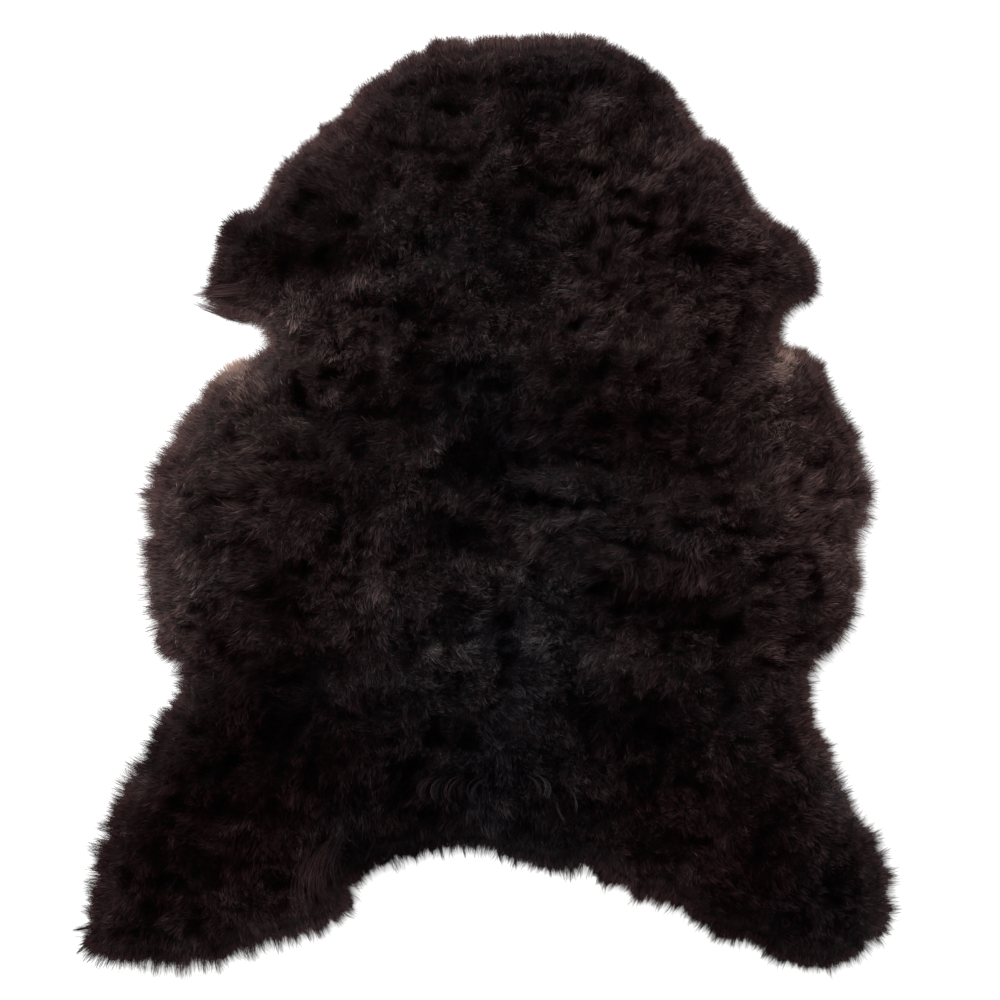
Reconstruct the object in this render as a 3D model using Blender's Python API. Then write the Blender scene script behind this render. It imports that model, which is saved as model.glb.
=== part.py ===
"""A sheepskin rug: one whole pelt with its wool, lying flat on the floor, the neck towards +Y.

The edge of the wool is a closed curve through named places. Inside it the wool stands as a lumpy
slab that rounds down to a rim. At the rim each stretch of wall runs out into a tapered lock, which
rests level on the floor and reaches the edge of the wool or a little past it.
"""

import math

import bmesh
import bpy
import numpy as np
from mathutils import Vector, geometry, noise

MM = 0.001

# The fleece
WOOL_HEIGHT = 42 * MM
RIM_HEIGHT = 15 * MM
SHOULDER_RADIUS = 42 * MM  # how far in from the rim the wool reaches its full height
ROOT_INSET = 14 * MM  # the rim lies this far inside the edge of the wool, and locks bridge it

# Tufts that show as lumps, wider across the pelt than along it, as the crevices run across
TUFT_ACROSS = 75 * MM
TUFT_ALONG = 42 * MM
TUFT_RELIEF = 11 * MM
CURL_SIZE = 30 * MM
CURL_RELIEF = 6 * MM
RIM_RELIEF_SHARE = 0.3

# Locks at the rim, four-sided, gathered into tufts
LOCKS = 276
LOCK_UNEVENNESS = 0.25  # in lock widths
LENGTH_VARIATION = 0.45  # the shortest lock falls this share of its reach short
TUFT_LOCKS = 4
TUFT_PULL = 0.9  # how much of its slack an outer lock of a tuft leans inward by
LOCK_DRIFT = 8 * MM
LOCK_DRIFT_SPAN = 90 * MM
LOCK_SECTIONS = [
    # share of the run, of the root's width, of the root's height
    (0.55, 0.8, 0.68),
    (1.0, 0.2, 0.14),
]

SEED = 7

# How finely the edge and the surface are followed
EDGE_STEPS = 10
NORMAL_REACH = 16 * MM
SURFACE_PITCH = 17 * MM
SHOULDER_ROW = 9 * MM
SHOULDER_MARGIN = 19 * MM

WOOL_COLOUR = (0.018, 0.011, 0.010, 1)
WOOL_ROUGHNESS = 0.9

# The edge of the wool, clockwise from the neck, in millimetres: across is measured to the right
# of the spine, along is measured from the hind feet, and wisp is how far lock tips pass the edge
WOOL_EDGE = [
    # place, across, along, wisp
    ("neck crown", -15, 995, 5),
    ("neck dip", 50, 996, 4),
    ("neck crown right", 98, 1000, 5),
    ("neck turn right", 155, 982, 6),
    ("neck corner right", 208, 938, 9),
    ("throat right", 236, 888, 6),
    ("shoulder top right", 266, 868, 7),
    ("shoulder right", 285, 825, 6),
    ("foreleg top right", 325, 790, 8),
    ("foreleg front right", 352, 757, 7),
    ("foreleg tip right", 360, 732, 9),
    ("foreleg back right", 328, 702, 8),
    ("foreleg notch right", 314, 675, 3),
    ("flank top right", 346, 658, 5),
    ("flank front right", 368, 628, 8),
    ("flank upper right", 394, 580, 8),
    ("flank right", 414, 510, 10),
    ("flank dip right", 400, 458, 7),
    ("flank back right", 409, 420, 10),
    ("flank lower right", 385, 352, 8),
    ("hip notch right", 352, 312, 5),
    ("thigh top right", 352, 280, 5),
    ("thigh right", 372, 230, 7),
    ("hind leg right", 405, 165, 8),
    ("hind leg outer right", 434, 105, 8),
    ("hind foot right", 431, 55, 9),
    ("hind foot corner right", 402, 16, 9),
    ("hind foot end right", 355, 2, 7),
    ("hind foot inner right", 314, 5, 6),
    ("hind leg step right", 280, 26, 5),
    ("hind leg inner right", 242, 37, 4),
    ("inner thigh right", 196, 68, 5),
    ("rump right", 145, 82, 7),
    ("tail notch right", 108, 107, 5),
    ("tail right", 65, 105, 10),
    ("tail", 14, 121, 11),
    ("tail left", -40, 124, 10),
    ("rump left", -92, 112, 8),
    ("inner thigh left", -134, 92, 7),
    ("inner thigh step left", -148, 58, 7),
    ("hind leg inner left", -190, 36, 11),
    ("hind leg under left", -250, 22, 12),
    ("hind foot inner left", -315, 3, 9),
    ("hind foot end left", -385, 5, 8),
    ("hind foot corner left", -428, 20, 10),
    ("hind foot left", -426, 58, 10),
    ("hind leg outer left", -413, 120, 9),
    ("hind leg left", -394, 182, 9),
    ("thigh left", -355, 255, 9),
    ("hip notch left", -326, 315, 6),
    ("flank lower left", -352, 348, 9),
    ("flank back left", -367, 405, 12),
    ("flank left", -361, 455, 11),
    ("flank mid left", -357, 510, 9),
    ("flank upper left", -330, 570, 8),
    ("flank front left", -288, 632, 7),
    ("flank top left", -248, 655, 5),
    ("foreleg notch left", -237, 674, 3),
    ("foreleg back left", -270, 697, 14),
    ("foreleg tip left", -297, 722, 21),
    ("foreleg front left", -290, 770, 10),
    ("foreleg top left", -273, 801, 6),
    ("shoulder left", -236, 828, 6),
    ("shoulder top left", -218, 862, 6),
    ("throat left", -180, 892, 6),
    ("neck side left", -135, 932, 6),
    ("neck turn left", -88, 975, 6),
]


def clear_scene():
    for obj in list(bpy.data.objects):
        bpy.data.objects.remove(obj)


def new_collection(name):
    made = bpy.data.collections.new(name)
    bpy.context.scene.collection.children.link(made)
    return made


def edge_guide(guides):
    """The edge of the wool as a smooth closed curve, kept as a guide."""
    curve = bpy.data.curves.new("wool_edge", "CURVE")
    curve.dimensions = "3D"
    curve.resolution_u = EDGE_STEPS
    spline = curve.splines.new("BEZIER")
    spline.bezier_points.add(len(WOOL_EDGE) - 1)
    for point, (_, across, along, _) in zip(spline.bezier_points, WOOL_EDGE):
        point.co = Vector((across, along, 0)) * MM
        point.handle_left_type = "AUTO"
        point.handle_right_type = "AUTO"
    spline.use_cyclic_u = True
    guide = bpy.data.objects.new("wool_edge", curve)
    guide.hide_render = True
    guide.display_type = "WIRE"
    guides.objects.link(guide)
    return guide


class Edge:
    """The guide read by distance along it: its places, its outward normals and its wisps."""

    def __init__(self, guide):
        bpy.context.view_layer.update()
        mesh = guide.to_mesh()
        places = np.array([vertex.co[:2] for vertex in mesh.vertices])
        guide.to_mesh_clear()
        rows = np.arange(len(places) + 1) / EDGE_STEPS
        wisps = [wisp * MM for _, _, _, wisp in WOOL_EDGE]
        self.places = np.vstack([places, places[:1]])
        self.wisps = np.interp(rows, range(len(wisps) + 1), wisps + wisps[:1])
        steps = np.linalg.norm(np.diff(self.places, axis=0), axis=1)
        self.runs = np.concatenate([[0], np.cumsum(steps)])
        self.length = self.runs[-1]

    def place(self, run):
        run = np.mod(run, self.length)
        across = np.interp(run, self.runs, self.places[:, 0])
        along = np.interp(run, self.runs, self.places[:, 1])
        return np.stack([across, along], axis=-1)

    def normal(self, run):
        """Outward, from the chord around a place, so that small waves don't turn it."""
        chord = self.place(run + NORMAL_REACH) - self.place(run - NORMAL_REACH)
        out = np.stack([-chord[..., 1], chord[..., 0]], axis=-1)
        return out / np.linalg.norm(out, axis=-1, keepdims=True)

    def wisp(self, run):
        return np.interp(np.mod(run, self.length), self.runs, self.wisps)

    def inside(self, run, inset):
        return self.place(run) - self.normal(run) * inset


def tuft_relief(places):
    """Height of the wool above or below its mean, from tufts and smaller curls."""
    relief = []
    for across, along in places:
        tuft = noise.noise(Vector((across / TUFT_ACROSS, along / TUFT_ALONG, 0)))
        curl = noise.noise(Vector((across, along, 0)) / CURL_SIZE)
        relief.append(TUFT_RELIEF * tuft + CURL_RELIEF * curl)
    return np.array(relief)


def distance_to(ring, places):
    """Distance of each place from the closed ring."""
    spans = np.roll(ring, -1, axis=0) - ring
    offsets = places[:, None] - ring
    shares = (offsets * spans).sum(-1) / (spans * spans).sum(-1)
    nearest = ring + spans * np.clip(shares, 0, 1)[..., None]
    return np.linalg.norm(places[:, None] - nearest, axis=-1).min(axis=1)


def wool_heights(places, inward):
    """The rounded shoulder from the rim to the full height, and the tufts over it."""
    share = np.clip(inward / SHOULDER_RADIUS, 0, 1)
    rounded = np.sqrt(1 - (1 - share) ** 2)
    rise = (WOOL_HEIGHT - RIM_HEIGHT) * rounded
    relief_share = RIM_RELIEF_SHARE + (1 - RIM_RELIEF_SHARE) * rounded
    return RIM_HEIGHT + rise + tuft_relief(places) * relief_share


def surface_places(edge, ring, runs):
    """The ring, a row just inside it, then even staggered rows over the rest of the fleece."""
    row = edge.inside(runs[::2], ROOT_INSET + SHOULDER_ROW)
    low = ring.min(axis=0)
    high = ring.max(axis=0)
    line_pitch = SURFACE_PITCH * math.sqrt(3) / 2
    lines = []
    for index, along in enumerate(np.arange(low[1], high[1], line_pitch)):
        shift = SURFACE_PITCH / 2 * (index % 2)
        across = np.arange(low[0] + shift, high[0], SURFACE_PITCH)
        lines.append(np.stack([across, np.full(len(across), along)], axis=-1))
    field = np.concatenate(lines)
    field = field[distance_to(ring, field) > SHOULDER_MARGIN]
    return np.concatenate([ring, row, field])


def wool_surface(bm, ring, places):
    """Triangles over the places, inside the ring, raised to the height of the wool."""
    rim = [(index, (index + 1) % len(ring)) for index in range(len(ring))]
    inputs = [Vector(place) for place in places]
    meshed = geometry.delaunay_2d_cdt(inputs, rim, [], 1, MM / 1000)
    flat = np.array([place[:] for place in meshed[0]])
    heights = wool_heights(flat, distance_to(ring, flat))
    verts = [bm.verts.new((*place, height)) for place, height in zip(flat, heights)]
    for corners in meshed[2]:
        bm.faces.new([verts[corner] for corner in corners]).smooth = True
    loose = [vert for vert in verts if not vert.link_faces]
    bmesh.ops.delete(bm, geom=loose, context="VERTS")


def wall_and_underside(bm):
    """The wall at the rim, dropped to the floor, and the flat underside. Returns the wall."""
    rim = [edge for edge in bm.edges if edge.is_boundary]
    dropped = bmesh.ops.extrude_edge_only(bm, edges=rim)["geom"]
    for vert in dropped:
        if isinstance(vert, bmesh.types.BMVert):
            vert.co.z = 0
    wall = [face for face in dropped if isinstance(face, bmesh.types.BMFace)]
    hem = [edge for edge in bm.edges if edge.is_boundary]
    underside = bmesh.ops.contextual_create(bm, geom=hem)["faces"]
    bmesh.ops.recalc_face_normals(bm, faces=bm.faces)
    bmesh.ops.triangulate(bm, faces=underside, ngon_method="BEAUTY")
    return wall


def fence(edge, run, share):
    """A line that parts two locks, from the rim at a share of 0 to their furthest reach at 1."""
    turn = 2 * math.pi * run / edge.length
    circle = Vector((math.cos(turn), math.sin(turn), 0)) * edge.length / (2 * math.pi)
    run = run + LOCK_DRIFT * share * noise.noise(circle / LOCK_DRIFT_SPAN)
    reach = (ROOT_INSET + edge.wisp(run)) * share - ROOT_INSET
    return edge.place(run) + edge.normal(run) * reach


def lock_sides(fences, width_share, lean):
    """The two sides of a lock between its fences, leaning to one of them by the slack it has."""
    left, right = fences
    slack = (right - left) * (1 - width_share) / 2
    return left + slack * (1 + lean), right - slack * (1 - lean)


def grow_lock(bm, edge, wall, runs, length, lean):
    """Runs a stretch of wall out between its fences, narrower and lower at each section."""
    end = wall
    start_sides = [fence(edge, run, 0) for run in runs]
    start_height = 1
    for share, width_share, height_share in LOCK_SECTIONS:
        fences = [fence(edge, run, share * length) for run in runs]
        sides = lock_sides(fences, width_share, lean)
        end = bmesh.ops.extrude_discrete_faces(bm, faces=[end])["faces"][0]
        for vert in end.verts:
            nearest = np.linalg.norm(np.array(start_sides) - vert.co[:2], axis=1).argmin()
            vert.co = Vector((*sides[nearest], vert.co.z * height_share / start_height))
        start_sides = sides
        start_height = height_share


def grow_locks(bm, edge, rng, wall, runs):
    middles = np.array([face.calc_center_median()[:2] for face in wall])
    ends = np.append(runs[1:], runs[0] + edge.length)
    for index, span in enumerate(zip(runs, ends)):
        root = sum(fence(edge, run, 0) for run in span) / 2
        nearest = np.linalg.norm(middles - root, axis=1).argmin()
        place_in_tuft = (index % TUFT_LOCKS + 0.5) / TUFT_LOCKS
        lean = TUFT_PULL * (1 - 2 * place_in_tuft)
        length = 1 - rng.uniform(0, LENGTH_VARIATION)
        grow_lock(bm, edge, wall[nearest], span, length, lean)


def wool_material():
    material = bpy.data.materials.new("wool_dark_brown")
    material.use_nodes = True
    shader = material.node_tree.nodes["Principled BSDF"]
    shader.inputs["Base Color"].default_value = WOOL_COLOUR
    shader.inputs["Roughness"].default_value = WOOL_ROUGHNESS
    shader.inputs["Metallic"].default_value = 0
    material.diffuse_color = WOOL_COLOUR
    return material


def centre_on_floor(bm):
    """Puts the origin under the middle of the pelt's box, on the floor."""
    places = np.array([vert.co[:] for vert in bm.verts])
    middle = (places.min(axis=0) + places.max(axis=0)) / 2
    bmesh.ops.translate(bm, verts=bm.verts, vec=Vector((-middle[0], -middle[1], 0)))


def sheepskin(edge, rug):
    rng = np.random.default_rng(SEED)
    unevenness = rng.uniform(-LOCK_UNEVENNESS, LOCK_UNEVENNESS, LOCKS)
    runs = (np.arange(LOCKS) + unevenness) / LOCKS * edge.length
    ring = edge.inside(runs, ROOT_INSET)
    bm = bmesh.new()
    wool_surface(bm, ring, surface_places(edge, ring, runs))
    wall = wall_and_underside(bm)
    grow_locks(bm, edge, rng, wall, runs)
    centre_on_floor(bm)
    mesh = bpy.data.meshes.new("sheepskin")
    bm.to_mesh(mesh)
    bm.free()
    mesh.materials.append(wool_material())
    rug.objects.link(bpy.data.objects.new("sheepskin", mesh))


def main():
    clear_scene()
    rug = new_collection("sheepskin_rug")
    guides = new_collection("guides")
    guides.hide_render = True
    sheepskin(Edge(edge_guide(guides)), rug)


main()
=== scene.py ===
"""The looks of the sheepskin rug: a tanned skin under deep dark brown wool, made strand by strand."""

import math

import bmesh
import bpy
import numpy as np
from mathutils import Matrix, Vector, kdtree
from mathutils.bvhtree import BVHTree


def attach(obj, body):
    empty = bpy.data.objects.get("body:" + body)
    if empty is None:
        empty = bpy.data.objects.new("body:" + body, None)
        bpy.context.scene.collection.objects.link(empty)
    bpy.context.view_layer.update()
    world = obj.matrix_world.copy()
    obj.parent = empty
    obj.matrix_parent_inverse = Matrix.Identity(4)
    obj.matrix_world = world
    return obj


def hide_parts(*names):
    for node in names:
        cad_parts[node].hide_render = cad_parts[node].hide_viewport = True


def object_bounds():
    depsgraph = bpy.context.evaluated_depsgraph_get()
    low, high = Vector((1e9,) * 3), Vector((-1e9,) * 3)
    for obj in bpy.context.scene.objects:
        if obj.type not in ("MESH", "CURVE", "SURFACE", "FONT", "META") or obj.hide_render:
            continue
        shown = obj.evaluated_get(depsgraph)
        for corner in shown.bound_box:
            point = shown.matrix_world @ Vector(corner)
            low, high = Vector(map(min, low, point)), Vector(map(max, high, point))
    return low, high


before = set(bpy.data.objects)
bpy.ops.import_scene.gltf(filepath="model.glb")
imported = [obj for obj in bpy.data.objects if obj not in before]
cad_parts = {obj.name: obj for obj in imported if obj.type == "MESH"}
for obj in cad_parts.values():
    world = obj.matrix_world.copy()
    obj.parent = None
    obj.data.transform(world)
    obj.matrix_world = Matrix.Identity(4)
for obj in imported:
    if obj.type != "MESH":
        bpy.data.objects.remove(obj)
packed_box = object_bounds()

MM = 0.001
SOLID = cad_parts["sheepskin"]
SEED = 5
WAVE_CELLS = 128

# How the fleece is read from the solid
GRID = 3 * MM
GRID_MARGIN = 45 * MM
RAY_HEIGHT = 1
WOOL_PAST_EDGE = 1.7 * MM
EDGE_BLUR = 4 * MM
HEIGHT_BLUR = 5 * MM
OUTWARD_BLUR = 12 * MM
LEAST_SLOPE = 0.2

# The skin and the dense wool next to it
SKIN_THICKNESS = 2.5 * MM
SKIN_SLICE = 18 * MM
SKIN_COLOUR = (0.55, 0.43, 0.31)
BASE_PITCH = 4.5 * MM
BASE_EDGE = 8 * MM
BASE_SHARE = 0.6
# The dense wool sits at the root's end of the map, so it gets the deepest painted shade
BASE_PAINTED_SHADE = 0.02

# Where the wool stands out or falls in: by the chart, and by random waves of several spans. The same rise
# is also painted into the colour: painted light where the wool stands out, painted shade in hollows,
# creases and nooks
CHARTED_SHARE = 1.2
TUFT_RISE = 25 * MM
HOLLOW_DEPTH = 42 * MM
RAGGED_SHIFT, RAGGED_SPAN = 5 * MM, 12 * MM
WAVY_SHIFT, WAVY_SPAN = 14 * MM, 26 * MM
SWELL, SWELL_SPAN = 0.035, 42 * MM
HOLLOW, HOLLOW_SPAN = 0.05, 19 * MM
NOOK, NOOK_SPAN = 0.085, 10 * MM
CREASE, CREASE_SPAN, CREASE_WIDTH = 0.065, 32 * MM, 0.12
CREASE_SKEW = [(0.68, 0.25), (-0.25, 1.1)]
CREASED_SPAN = 50 * MM

# How the wool leans and is shaded, and what changes towards the rim
COMBED = 0.65
TURNED, TURN_SPAN = 0.45, 28 * MM
# Painted light on the tufts that stand out and painted shade in the hollows, per unit of rise
SHADE, RISE_PAINTED_LIGHT, FALL_PAINTED_SHADE = 0.588, 1.4, 3.15
SHADE_DRIFT, SHADE_SPAN = 0.04, 60 * MM
BROWN, BROWN_DRIFT, BROWN_SPAN = 0.83, 0.15, 50 * MM
PALE, PALE_SHARE = 0.80, 0.5
TONE_RANGE = (0.03, 0.97)
RIM_REACH = 45 * MM
RIM_SMOOTHING = 0.6
RIM_LEAN = 0.8
# Lighter towards the rim: partly paler wool, partly painted glow of light through the thin wool there
RIM_PALENESS_AND_GLOW = 0.05
RIM_BROWN = 0.12

# Where strands gather: pitch, how much wider across than along, uneven lean, their strands' stray
CLUMPS = (28 * MM, 1.5, 0.15, 2 * MM)
TUFTS = (10 * MM, 1, 0.2, 1.2 * MM)
WISPS = (4.5 * MM, 1, 0.2, 0.6 * MM)
POINTS = (7 * MM, 1, 0.2, 0.8 * MM)
GATHERED_PAST_EDGE = 6 * MM
UNEVEN_CURL = 0.4
UNEVEN_LIFT = 1.5
UNEVEN_SHADE = 0.038
UNEVEN_PICK = 0.28

# The body's strands: how many, reach, width, rings as share of the way and taper, and bands
PILE_RINGS = np.array([(0, 1), (1, 0)])
HAIR_RINGS = np.array([(0, 1), (0.55, 0.8), (1, 0)])
PILE = (400_000, (4 * MM, 10 * MM), 0.7 * MM, PILE_RINGS, ["pile_hind", "pile_waist", "pile_neck"])
HAIRS = (110_000, (6 * MM, 14 * MM), 0.38 * MM, HAIR_RINGS, ["hairs_hind", "hairs_neck"])
STRANDS_INWARD = 4 * MM
STRAND_STRAY = 0.1
STRAND_CURL = 0.35
STRAND_SHADES = 0.125
CLUMP_SLOPE, TUFT_SLOPE = 7 * MM, 4 * MM
CLUMP_SINK, TUFT_SINK, WISP_SINK, STRAND_SINK = 4, 3, 2, 1.5
# Painted light towards the raised tips of clumps and tufts, painted shade at their roots where the one
# before overhangs
CLUMP_FRONT_PAINTED_LIGHT, TUFT_FRONT_PAINTED_LIGHT = 0.06, 0.12
BODY_REACH = 35 * MM
LOWERED_REACH = 22 * MM
LEAST_HEIGHT = 0.8 * MM
LONGEST_AT_RIM, RIM_SHORTFALL = 24 * MM, 7

# The fringe of fine strands past the wool's edge; its lengths and its points' depth in millimetres
RIM_STRANDS = 60_000
RIM_WIDTH = 0.33 * MM
RIM_RINGS = np.array([(0, 1), (0.7, 0.9), (1, 0)])
RIM_ROOTS = (5 * MM, 19 * MM)
# Painted glow of light through the thin fringe, weaker where the edge faces the tail and towards the hind
# end
RIM_PAINTED_GLOW = 0.04
RIM_SHADES = 0.06
FRINGE, LONGEST_FRINGE, POINT_DEPTH = 2.8, 18, 5

# Each charted lock, and how all the ribbons differ from one another
LOCK_STRANDS = 12
LOCK_STEPS = 6
LOCK_DRIFT = 0.6 * MM
LOCK_ARCH = 6
LOCK_LEVEL = (-0.8 * MM, 1.6 * MM)
LOCK_SHADES = (0.02, 0.1)
RIBBON_ROLL = 0.4
RIBBON_WIDTHS = (0.7, 1.2)

# Colours along the map's first axis, black wool then brown, and painted shade deepening down to the root
# along its second
WIDTH_ON_MAP = 1 / 64
WOOL_COLOURS = [
    # The black wool's cool grey, rising to the stop at 0.499, is partly its own colour, partly painted
    # sheen
    (0.0, (0.0011, 0.0009, 0.0015)),
    (0.15, (0.0051, 0.0044, 0.0059)),
    (0.25, (0.0153, 0.0134, 0.0168)),
    (0.35, (0.0358, 0.0320, 0.038)),
    (0.499, (0.160, 0.145, 0.150)),
    (0.5, (0.0035, 0.0006, 0.0013)),
    (0.65, (0.0124, 0.0037, 0.0047)),
    (0.75, (0.0302, 0.0137, 0.0151)),
    (0.85, (0.065, 0.0345, 0.0354)),
    (0.95, (0.138, 0.086, 0.082)),
    # the palest brown, reached at the notch tips, is partly pale wool, partly painted light through thin
    # wool
    (1.0, (0.50, 0.34, 0.29)),
]
ROOT_PAINTED_SHADE = [(0, (0.18, 0.18, 0.18)), (0.55, (0.74, 0.74, 0.74))]
WOOL_TIP = (0.94, 0.94, 0.94)
# The fringe's tips are tinted warm: partly paler wool, partly painted light shining through the thin hairs
FRINGE_TIP = (1, 0.86, 0.74)
WOOL_ROUGHNESS, WOOL_SPECULAR = 0.55, 0.03

# The studio, and the camera straight above, as in the photograph
FLOOR_SIZE, FLOOR_GAP = 60, 0.3 * MM
FLOOR_COLOUR = (0.95, 0.95, 0.95)
SURROUND_STRENGTH = 1.1
LAMP_SIZE, LAMP_POWER = 2.5, 170
LAMP_PLACE = (-2.0, 2.2, 2.6)
PHOTO_PIXELS, PIXELS_PER_METRE = 1000, 937
FRAME_WIDTH = PHOTO_PIXELS / PIXELS_PER_METRE
FRAME_CENTRE = (13.9 * MM, 2.1 * MM)
CAMERA_HEIGHT = 3.2
CAMERA_SIGHT = 100
SENSOR = 36

# How the wool is combed: where on the pelt, and which way the strands lean there
COMBING = [
    # place, across, along in millimetres, lean across, lean along
    ("crown", 35, 461, 0.05, 0.6),
    ("crown left", -82, 429, -0.35, 0.6),
    ("neck right", 206, 365, 0.6, 0.85),
    ("neck right inner", 142, 365, 0.6, 0.6),
    ("neck left", -178, 365, -0.6, 0.5),
    ("withers", -20, 280, 0.0, -0.35),
    ("foreleg left", -274, 248, -1.0, -0.25),
    ("foreleg right", 313, 269, 1.0, -0.15),
    ("armpit left", -200, 194, -0.35, -0.9),
    ("behind left notch", -264, 141, -0.5, 0.6),
    ("shoulder right", 170, 190, 0.4, 0.4),
    ("armpit right", 270, 184, 0.5, -0.2),
    ("left of spine", -93, 55, -0.4, -0.4),
    ("flank left", -328, 34, -1.0, 0.1),
    ("flank left low", -306, -126, -0.95, -0.35),
    ("flank right top", 323, 98, 0.55, 0.75),
    ("flank right", 377, -19, 0.85, 0.5),
    ("flank right low", 334, -137, 0.85, 0.2),
    ("middle", 78, 23, -0.9, -0.3),
    ("middle right", 185, 2, -0.9, -0.5),
    ("loin right", 217, -83, -0.45, -0.9),
    ("loin right low", 163, -169, -0.85, -0.6),
    ("hip crease right", 270, -200, 0.6, 0.5),
    ("middle left", -114, -105, -0.2, -0.8),
    ("spine low", -7, -158, 0.8, 0.15),
    ("rump", 14, -254, 0.5, -0.3),
    ("rump low", -7, -318, -0.5, -0.9),
    ("tail", 78, -371, 0.15, -1.0),
    ("tail left", -168, -382, 0.1, -1.0),
    ("hip left", -306, -233, -0.8, -0.1),
    ("hind leg left", -381, -371, -0.7, -0.2),
    ("hind foot left", -360, -457, -0.5, -0.7),
    ("hind leg left, under", -242, -446, 0.1, -1.0),
    ("hip right", 323, -275, 0.9, -0.05),
    ("hind leg right", 398, -371, 0.9, -0.1),
    ("hind foot right", 366, -457, 0.4, -0.6),
    ("hind leg right, under", 249, -446, 0.0, -0.8),
    ("thigh right", 270, -339, 0.2, -0.5),
]
COMBING_REACH = 55

# Parts of the pelt that are lighter than the rest, or darker
TONES = [
    # place, across, along, half width, half length in millimetres, turn in degrees if any, added
    # The notch tips' paleness is partly pale wool, partly painted light shining through the thin wool
    ("notch tip left", -272, 140, 13, 12, 0.5),
    ("notch tip right", 316, 141, 16, 24, 0.40),
    ("crown", 8, 478, 112, 29, 0.075),
    ("withers", -61, 365, 101, 112, 0.07),
    ("neck right", 163, 352, 80, 85, 0.17),
    ("shoulder left", -216, 189, 59, 41, 0.17),
    ("behind notch left", -250, 104, 62, 48, 0.235),
    ("chest right", 142, 178, 128, 45, 0.18),
    ("armpit right", 323, 184, 32, 37, -0.06),
    ("foreleg left", -226, 269, 59, 37, -0.12),
    ("foreleg right", 249, 264, 53, 27, -0.05),
    ("breast left", -66, 120, 80, 64, -0.13),
    ("breast", 46, 87, 96, 43, -0.135),
    ("breast right", 163, 87, 64, 37, -0.08),
    ("spine", -7, 16, 48, 48, -0.15),
    ("flank left", -333, 4, 75, 150, 0.21),
    ("flank left inner", -248, 30, 64, 60, 0.15),
    ("flank right", 334, 55, 91, 80, 0.16),
    ("flank right low", 387, -62, 75, 85, 0.16),
    ("right of middle", 249, 16, 59, 64, 0.045),
    ("loin", 163, -72, 58, 38, -0.15),
    # painted shade in the crevice across the right loin
    ("loin crevice right", 217, -134, 117, 23, -0.10),
    ("waist left", -240, -201, 85, 80, -0.235),
    ("rump left", -157, -297, 128, 75, -0.20),
    ("rump", 14, -318, 128, 64, -0.12),
    ("rump right", 163, -307, 117, 85, -0.17),
    ("hind leg left", -322, -361, 101, 91, -0.23),
    ("hind foot left", -402, -425, 53, 75, -0.05),
    ("hind leg right", 311, -390, 76, 66, -0.27),
    ("hip edge right", 371, -297, 43, 64, 0.22),
    ("hip right", 270, -201, 64, 43, 0.04),
    ("shoulder left inner", -144, 270, 66, 48, -0.02),
    ("withers low", -72, 266, 56, 46, 0.16),
    ("middle low", 3, -105, 160, 64, 0.09),
    ("middle", 78, 0, 64, 55, 0.05),
    ("rump high", -93, -201, 139, 32, 0.02),
    ("hip", 281, -147, 64, 53, 0.06),
    ("shoulder edge right", 270, 290, 43, 64, 0.07),
    ("tail left", -88, -378, 82, 32, -0.30),
    ("hind leg left, inner", -238, -398, 58, 48, 0.11),
    ("crown left", -75, 480, 40, 27, -0.01),
    ("rump middle", 48, -290, 64, 34, 0.16),
    ("chest left", -122, 174, 75, 40, 0.10),
    ("hip right, inner", 178, -226, 90, 38, -0.205),
    ("hind leg right, inner", 168, -448, 50, 38, -0.10),
    ("crown right", 168, 484, 38, 36, -0.22),
    ("hind foot right, edge", 404, -442, 44, 58, -0.02),
    ("flank right edge", 400, 0, 35, 70, 0.03),
    ("armpit left, inner", -188, 166, 34, 40, 0.09),
    ("flank left, low edge", -324, -124, 34, 44, 0.27),
    ("stroke right of spine", 44, -56, 22, 42, 0.12),
    ("spot left of spine", -118, -90, 22, 22, 0.12),
    ("spot left of spine, low", -152, -140, 34, 24, 0.13),
    ("spot over the rump", -60, -162, 34, 24, 0.15),
    ("patch over the rump", 62, -148, 40, 30, 0.14),
    ("loin right, under the crevice", 148, -160, 50, 30, 0.14),
    ("neck left", -144, 344, 50, 40, 0.19),
    ("crown, left side", -84, 426, 38, 30, 0.12),
    ("under the notch right", 306, 90, 28, 42, 0.24),
    ("flank right, top edge", 372, 70, 28, 34, -0.06),
    ("shoulder right, low", 170, 226, 46, 34, 0.05),
    ("breast right, low", 208, 66, 62, 26, -0.06),
    ("flank right, low inner", 282, -58, 56, 34, 0.07),
    ("hind leg left, underside", -290, -466, 112, 22, -0.08),
    ("hind leg right, underside", 256, -450, 58, 26, -0.20),
    ("hind foot right, underside", 332, -474, 56, 26, -0.14),
    ("hip edge left", -386, -276, 22, 56, 30, 0.28),
    ("waist left, rim", -326, -208, 24, 34, 0.16),
    ("tail, left of the middle", -72, -318, 44, 44, -0.06),
    ("dark patch over the thigh right", 140, -234, 70, 34, -0.075),
    ("dark patch on the spine", -28, -58, 50, 34, -0.075),
    ("waist left, inner", -214, -96, 44, 40, -0.05),
]

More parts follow.
